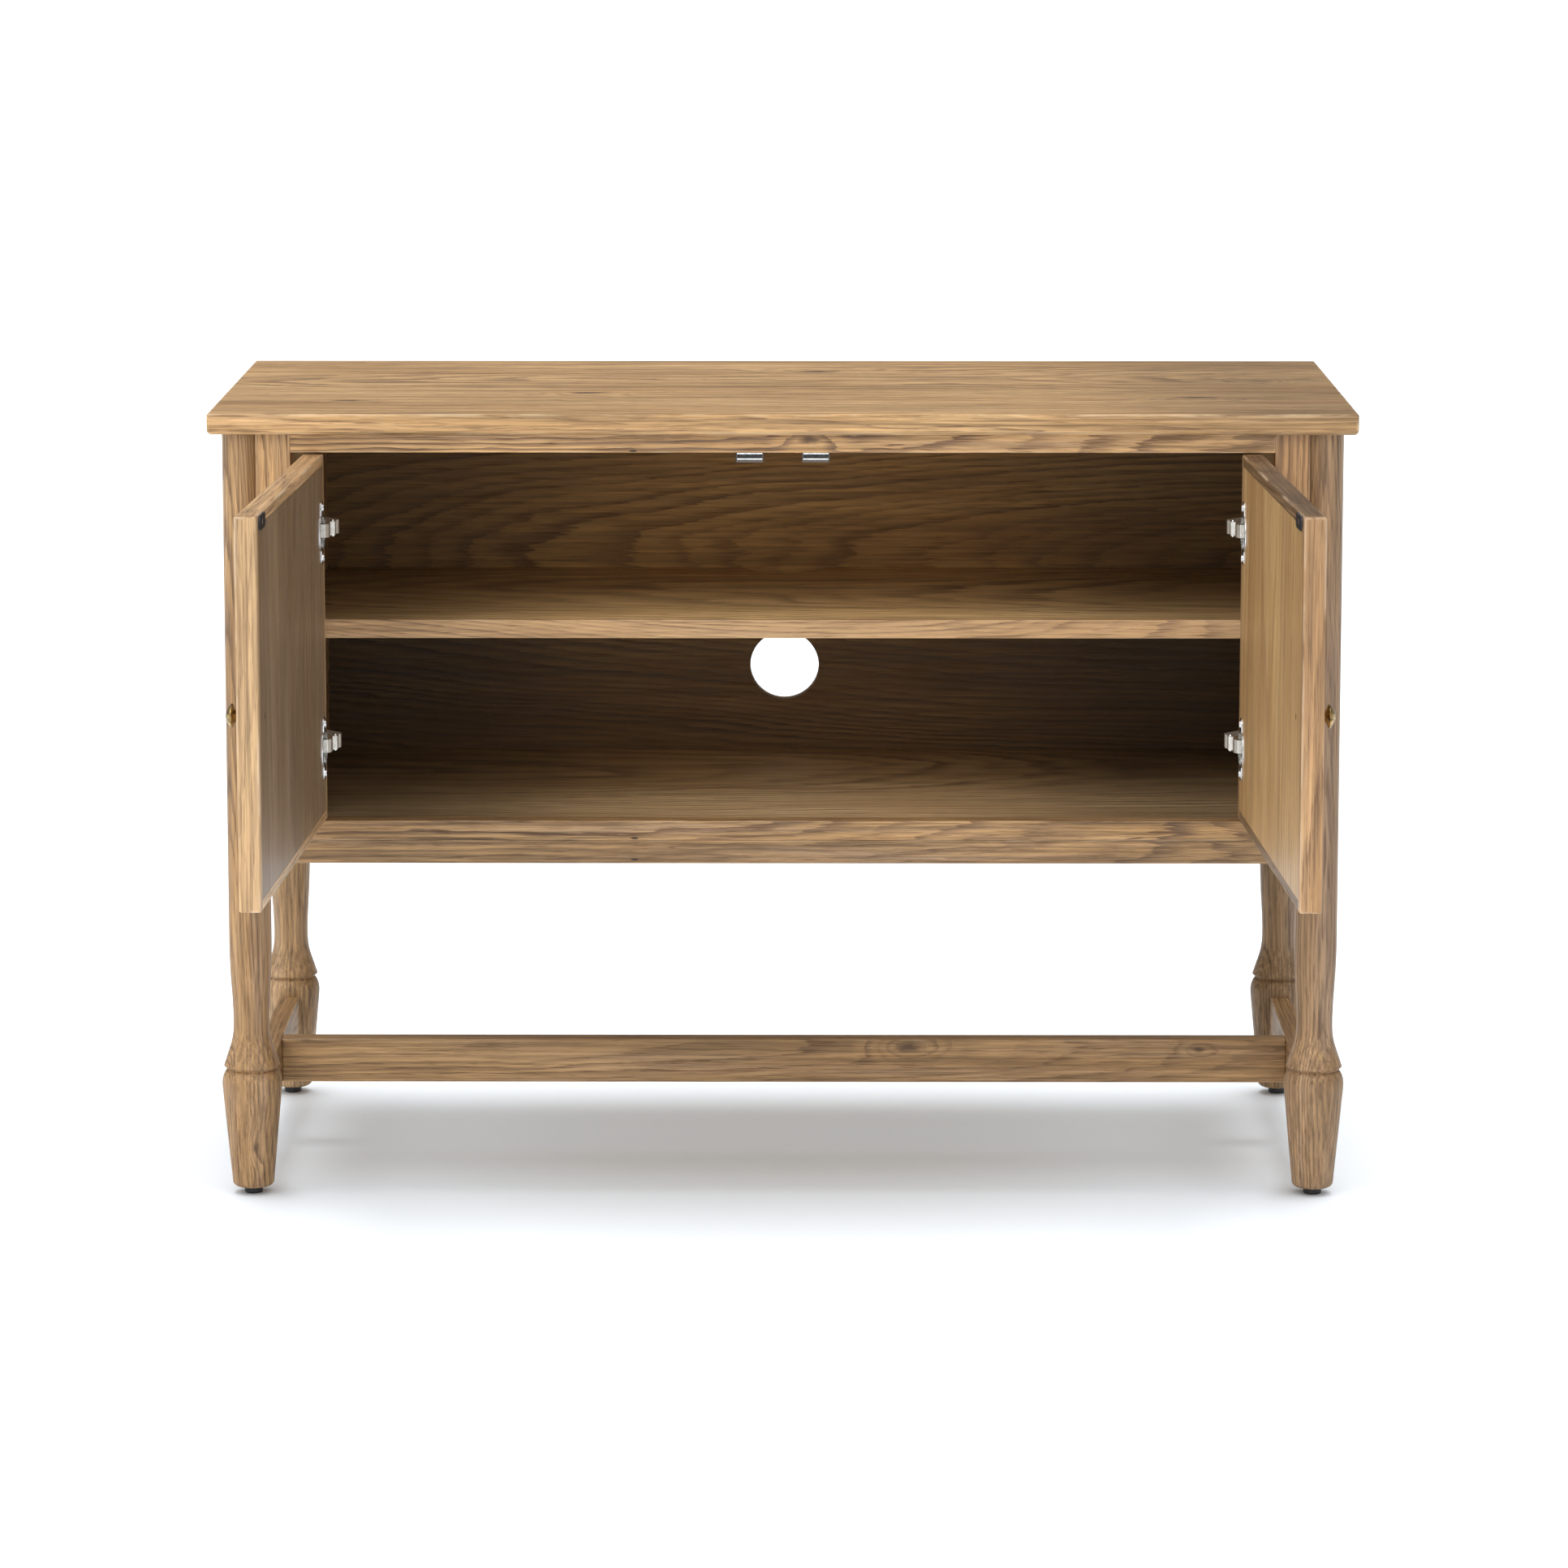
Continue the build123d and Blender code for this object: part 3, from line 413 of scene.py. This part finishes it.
for number, side in enumerate(SIDES):
    tones = toned(0.98, (1.0, 0.92, 0.82)) if side == "left" else toned(0.75, (1.0, 0.88, 0.81))
    oak("oak_stile_" + side, ["stile_" + side], "Z", (-0.05, 0.08), colours=tones, lean=(0.02, 0.03, 0),
        ring=0.004, wander=0.03, seed=71.3 + number * 3.9, early=0.6, streaks=0.5, greyness=0.6, wear=0.5,
        wear_width=0.002, relief=0.0005, contrast=1.2)
    oak("oak_side_" + side, ["side_panel_" + side], "Z", (0.09, 0.05), colours=toned(0.82),
        lean=(0.06, 0.05, 0),
        ring=0.006, wander=0.05, seed=83.3 + number * 3.9, early=0.45, streaks=0.3, greyness=0.5, wear=0.3)

# The inside boards are darker and redder than the outer oak: partly their own tone, partly painted shade
# inside the cabinet.
INSIDE_TONE_AND_SHADE = toned(0.53, (1.0, 0.83, 0.48))
# Painted shade: the back board, shelf and cabinet floor go from 1.25 in the middle to 0.62 at the sides, and
# the back board's front face drops to 0.40 below the shelf.
PAINTED_SHADE_TOWARDS_SIDES = ("|x|", 0.10, 0.42, 1.25, 0.62)
PAINTED_SHADE_BELOW_SHELF = ("z", -0.01, 0.012, 0.40, 1.0)
for number, (name, tones, pith, lean, painted_shades) in enumerate((
        ("back_panel", toned(1.15, base=INSIDE_TONE_AND_SHADE), (0.075, 0.02), (0.10, 0.015, 0),
         (PAINTED_SHADE_TOWARDS_SIDES, PAINTED_SHADE_BELOW_SHELF)),
        ("shelf", toned(1.09, (1.0, 1.03, 0.94)), (0.02, 0.35), (0.02, 0.05, 0), (PAINTED_SHADE_TOWARDS_SIDES,)),
        ("floor_panel", toned(0.68, (1.0, 1.07, 1.12)), (0.05, -0.35), (0.02, 0.05, 0), (PAINTED_SHADE_TOWARDS_SIDES,)),
        ("ceiling_panel", INSIDE_TONE_AND_SHADE, (0.04, -0.3), (0.02, 0.05, 0), ()))):
    oak("oak_" + name, [name], "X", pith, colours=tones, lean=lean, ring=0.0062, wander=0.045,
        seed=97.1 + number * 4.7, early=0.7, streaks=0.6, greyness=0.25, wear=0.0, pores=0.6, relief=0.0002,
        gloss=0.55, contrast=1.6, painted_shades=painted_shades, fade_front_only=name == "back_panel")
oak("oak_shelf_edge", ["shelf_lipping"], "X", (-0.03, 0.05), colours=toned(0.86, (1.0, 0.95, 0.92)),
    lean=(0.12, 0.1, 0), ring=0.004,
    wander=0.03, seed=121.3, early=0.55, streaks=0.2, greyness=0.3, wear=0.3, wear_width=0.0015)

for number, side in enumerate(SIDES):
    turn = door_turn(side)
    core_box = local_box(["door_core_" + side], turn)
    left = side == "left"
    # The left door's face colours are darker and greyer as painted shade on its inner face; the outer tint
    # lifts its outer face back up.
    face = toned(0.50, (0.94, 0.95, 1.08)) if left else toned(0.88, (1.0, 0.95, 0.82))
    edge = toned(0.91, (1.0, 0.98, 1.0)) if left else toned(0.76, (1.0, 0.91, 0.87))
    oak("oak_door_face_" + side, ["door_core_" + side], "Z", (0.04, 0.7), colours=face, matrix=turn,
        ring=0.0042,
        wander=0.03, lean=(0.01, 0.01, 0), seed=131.9 + number * 8.3, early=0.38, streaks=0.15, greyness=0.35,
        wear=0.0, pores=0.45, relief=0.00015, gloss=0.42, seams=core_box, strips=0.074,
        outer_tint_over_painted_shade=(1.72, 1.66, 1.30) if left else None)
    oak("oak_door_edge_" + side, ["door_lipping_" + side], "Z", (0.03, 0.05), colours=edge, matrix=turn,
        ring=0.0045,
        wander=0.02, lean=(0.03, 0.04, 0), seed=151.9 + number * 8.3, early=0.4, streaks=0.2, greyness=0.3,
        wear=0.7, wear_width=0.003, cross_ends=0.0101, seams=core_box, contrast=1.9,
        cross_tone=1.2 if left else 0.42)


# ---------------------------------------------------------------- metals, plastics and hidden wood

def metal(name, bright, dull, roughness, nodes, mottled=300.0, scratches=0.35, metallic=1.0):
    """Plated metal: patches of a duller tone, fine rubbing marks and slightly uneven gloss."""
    made, g, shader = material(name)
    spot = g.node("ShaderNodeTexCoord").outputs["Object"]
    patch = g.span(g.noise(spot, mottled, 4, 0.6), 0.35, 0.68)
    colour = g.mix(patch, bright, dull)
    rub = g.noise(g.stretch(spot, 900, 900, 5200), 1, 2, 0.6)
    colour = g.mix(g.math("MULTIPLY", g.span(rub, 0.55, 0.75), scratches * 0.5), colour, dull)
    g.feed(shader.inputs["Base Color"], colour)
    shader.inputs["Metallic"].default_value = metallic
    rubbed = g.math("MULTIPLY_ADD", rub, 0.16, roughness - 0.08)
    g.feed(shader.inputs["Roughness"], g.math("ADD", g.math("MULTIPLY", patch, 0.14), rubbed))
    bump = g.node("ShaderNodeBump")
    bump.inputs["Strength"].default_value = scratches
    bump.inputs["Distance"].default_value = METAL_RELIEF
    g.feed(bump.inputs["Height"], rub)
    g.feed(shader.inputs["Normal"], bump.outputs[0])
    dress(made, *nodes)


def both(*names):
    return [f"{name}_{side}" for name in names for side in SIDES]


metal("satin_nickel", (0.72, 0.69, 0.62), (0.62, 0.59, 0.53), 0.44,
      ["hinge_arms", "hinge_bases", "shelf_pins", *both("hinge_links")])
metal("bright_chrome", (0.88, 0.88, 0.88), (0.66, 0.66, 0.66), 0.14,
      ["hinge_nose_pins", *both("hinge_cups", "hinge_cup_screws", "hinge_link_pins")], scratches=0.2)
metal("zinc_screws", (0.62, 0.61, 0.58), (0.42, 0.41, 0.39), 0.32,
      ["hinge_base_screws", "hinge_arm_screws", "catch_screws", "top_screws", "glide_nails",
       *both("strike_screw")])
metal("catch_steel", (0.86, 0.85, 0.82), (0.66, 0.65, 0.62), 0.2, ["catch_poles"])
metal("dark_knob_screw", (0.12, 0.11, 0.10), (0.06, 0.05, 0.05), 0.4, both("knob_screw"))
metal("black_strike", (0.05, 0.05, 0.055), (0.02, 0.02, 0.022), 0.36, both("strike_plate"), metallic=0.4)
metal("antique_brass", (0.52, 0.35, 0.14), (0.11, 0.065, 0.032), 0.30, both("knob"),
      mottled=190.0, scratches=0.5)
metal("magnet_ferrite", (0.06, 0.06, 0.06), (0.03, 0.03, 0.03), 0.6, ["catch_magnets"], metallic=0.1)


def plastic(name, colour, darker, roughness, nodes, subsurface=0.0):
    """Moulded plastic: a faint orange peel and a slight drift of tone."""
    made, g, shader = material(name)
    spot = g.node("ShaderNodeTexCoord").outputs["Object"]
    g.feed(shader.inputs["Base Color"], g.mix(g.noise(spot, 120, 4, 0.6), darker, colour))
    peel = g.noise(spot, PEEL_SCALE, 2, 0.5)
    g.feed(shader.inputs["Roughness"], g.math("MULTIPLY_ADD", peel, 0.15, roughness - 0.07))
    shader.inputs["Subsurface Weight"].default_value = subsurface
    shader.inputs["Subsurface Scale"].default_value = 0.004
    bump = g.node("ShaderNodeBump")
    bump.inputs["Strength"].default_value = 0.25
    bump.inputs["Distance"].default_value = PLASTIC_RELIEF
    g.feed(bump.inputs["Height"], peel)
    g.feed(shader.inputs["Normal"], bump.outputs[0])
    dress(made, *nodes)


plastic("catch_plastic", (0.17, 0.135, 0.11), (0.10, 0.08, 0.065), 0.34, ["catch_housings"], subsurface=0.1)
plastic("glide_plastic", (0.022, 0.022, 0.024), (0.012, 0.012, 0.013), 0.45, ["foot_glides"])

BEECH = {"light": (0.72, 0.54, 0.36), "mid": (0.62, 0.44, 0.28), "dark": (0.40, 0.27, 0.17),
         "grey": (0.58, 0.45, 0.32), "streak": (0.50, 0.35, 0.22), "wear": (0.75, 0.60, 0.42)}
oak("beech_dowels", ["carcass_dowels", "post_dowels"], "X", (0.05, 0.1), colours=BEECH, ring=0.002,
    seed=171.1,
    early=0.3, streaks=0.1, pores=0.3, wear=0.0)


# ---------------------------------------------------------------- floor, light and camera

def floor():
    half = 60.0
    mesh = bpy.data.meshes.new("studio_floor")
    corners = [(-half, -half, 0), (half, -half, 0), (half, half, 0), (-half, half, 0)]
    mesh.from_pydata(corners, [], [(0, 1, 2, 3)])
    made = bpy.data.objects.new("studio_floor", mesh)
    bpy.context.scene.collection.objects.link(made)
    paper, g, shader = material("studio_paper")
    spot = g.node("ShaderNodeTexCoord").outputs["Object"]
    g.feed(shader.inputs["Base Color"], g.mix(g.noise(spot, 3, 2), (0.85, 0.905, 0.96), (0.87, 0.92, 0.975)))
    shader.inputs["Roughness"].default_value = 0.9
    shader.inputs["Specular IOR Level"].default_value = 0.0
    mesh.materials.append(paper)
    return made


def linked(name, target, state):
    """A light-linking collection that includes or excludes one object."""
    made = bpy.data.collections.new(name)
    made.objects.link(target)
    made.collection_objects[0].light_linking.link_state = state
    return made


def sun(name, strength, spread, azimuth, elevation, receivers, colour=(1, 1, 1)):
    """A soft far light. Azimuth 0 is in front of the cabinet and 90 on its right."""
    data = bpy.data.lights.new(name, "SUN")
    data.energy = strength
    data.angle = math.radians(spread)
    data.color = colour
    made = bpy.data.objects.new(name, data)
    bpy.context.scene.collection.objects.link(made)
    a, e = math.radians(azimuth), math.radians(elevation)
    towards = Vector((math.sin(a) * math.cos(e), -math.cos(a) * math.cos(e), math.sin(e)))
    made.rotation_euler = towards.to_track_quat("Z", "Y").to_euler()
    made.light_linking.receiver_collection = receivers


def surroundings(strength):
    world = bpy.data.worlds.new("studio")
    world.use_nodes = True
    world.node_tree.nodes.clear()
    g = Graph(world.node_tree)
    rays = g.node("ShaderNodeLightPath")
    height = g.separate(g.node("ShaderNodeTexCoord").outputs["Generated"])[2]
    glow = g.span(height, -0.2, 1.0, strength * 0.7, strength * 1.25)
    seen = g.node("ShaderNodeBackground")
    seen.inputs["Color"].default_value = (1, 1, 1, 1)
    lit = g.node("ShaderNodeBackground")
    g.feed(lit.inputs["Strength"], glow)
    pick = g.node("ShaderNodeMixShader")
    g.feed(pick.inputs[0], rays.outputs["Is Camera Ray"])
    g.feed(pick.inputs[1], lit.outputs[0])
    g.feed(pick.inputs[2], seen.outputs[0])
    g.feed(g.node("ShaderNodeOutputWorld").inputs["Surface"], pick.outputs[0])
    bpy.context.scene.world = world


paper_floor = floor()
on_object = linked("lit_object", paper_floor, "EXCLUDE")
on_floor = linked("lit_floor", paper_floor, "INCLUDE")
surroundings(0.42)
sun("key_left", 1.25, 35, -48, 38, on_object, (1.0, 0.985, 0.96))
sun("front", 1.15, 80, -6, 14, on_object)
sun("overhead", 1.25, 70, 0, 82, on_object)
sun("floor_dome", 2.6, 128, 0, 85, on_floor)
sun("floor_top", 1.65, 30, 180, 84, on_floor)

CAMERA_LENS = 133.33
CAMERA_SHIFT = -0.1
CAMERA_PLACE = (0.0264, -5.7039, 1.3732)
CAMERA_DOWN = 8.491              # degrees below level
CAMERA_TURN = 0.263              # degrees towards the left
camera_data = bpy.data.cameras.new("camera")
camera_data.lens = CAMERA_LENS
camera_data.shift_y = CAMERA_SHIFT
camera_data.sensor_width = 36.0
camera_data.clip_end = 200.0
camera = bpy.data.objects.new("camera", camera_data)
camera.location = CAMERA_PLACE
camera.rotation_euler = Euler((math.radians(90 - CAMERA_DOWN), 0, math.radians(CAMERA_TURN)))
bpy.context.scene.collection.objects.link(camera)
bpy.context.scene.camera = camera

scene = bpy.context.scene
scene.view_settings.view_transform = "Standard"
scene.view_settings.look = "None"
